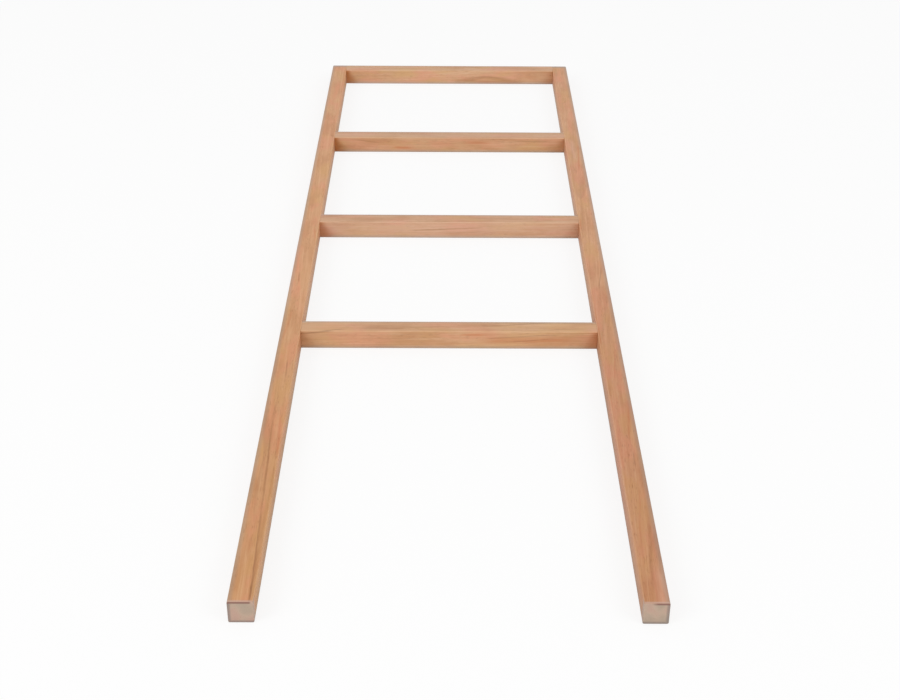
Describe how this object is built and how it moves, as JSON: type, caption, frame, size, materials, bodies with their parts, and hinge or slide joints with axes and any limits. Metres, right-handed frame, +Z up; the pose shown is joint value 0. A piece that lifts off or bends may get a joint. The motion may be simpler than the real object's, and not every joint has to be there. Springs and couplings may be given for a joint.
{
  "type": "blanket ladder",
  "caption": "Plain wooden blanket ladder: square stiles joined flush by evenly spaced square rungs, with open legs below, to lean on a wall and hang blankets from.",
  "frame": {"origin": "middle of the ladder's outline, on the plane of its back faces", "axes": "+X across the ladder to the right as seen from the front, +Y from the foot ends to the top, +Z out of the front. The ladder lies on its back. To lean it on a wall at X across and Z up, turn it about +X by 75 to 80 degrees, so that its feet stand on the floor and its top comes to the wall."},
  "size_m": [0.5, 1.75, 0.03],
  "materials": {
    "teak": "satin, lightly oiled",
    "dowel_beech": "bare"
  },
  "bodies": {
    "root": {"left_stile": "teak", "right_stile": "teak", "top_rung": "teak", "second_rung": "teak", "third_rung": "teak", "bottom_rung": "teak", "top_rung_left_upper_dowel": "dowel_beech", "top_rung_left_lower_dowel": "dowel_beech", "top_rung_right_upper_dowel": "dowel_beech", "top_rung_right_lower_dowel": "dowel_beech", "second_rung_left_upper_dowel": "dowel_beech", "second_rung_left_lower_dowel": "dowel_beech", "second_rung_right_upper_dowel": "dowel_beech", "second_rung_right_lower_dowel": "dowel_beech", "third_rung_left_upper_dowel": "dowel_beech", "third_rung_left_lower_dowel": "dowel_beech", "third_rung_right_upper_dowel": "dowel_beech", "third_rung_right_lower_dowel": "dowel_beech", "bottom_rung_left_upper_dowel": "dowel_beech", "bottom_rung_left_lower_dowel": "dowel_beech", "bottom_rung_right_upper_dowel": "dowel_beech", "bottom_rung_right_lower_dowel": "dowel_beech"}
  },
  "joints": []
}
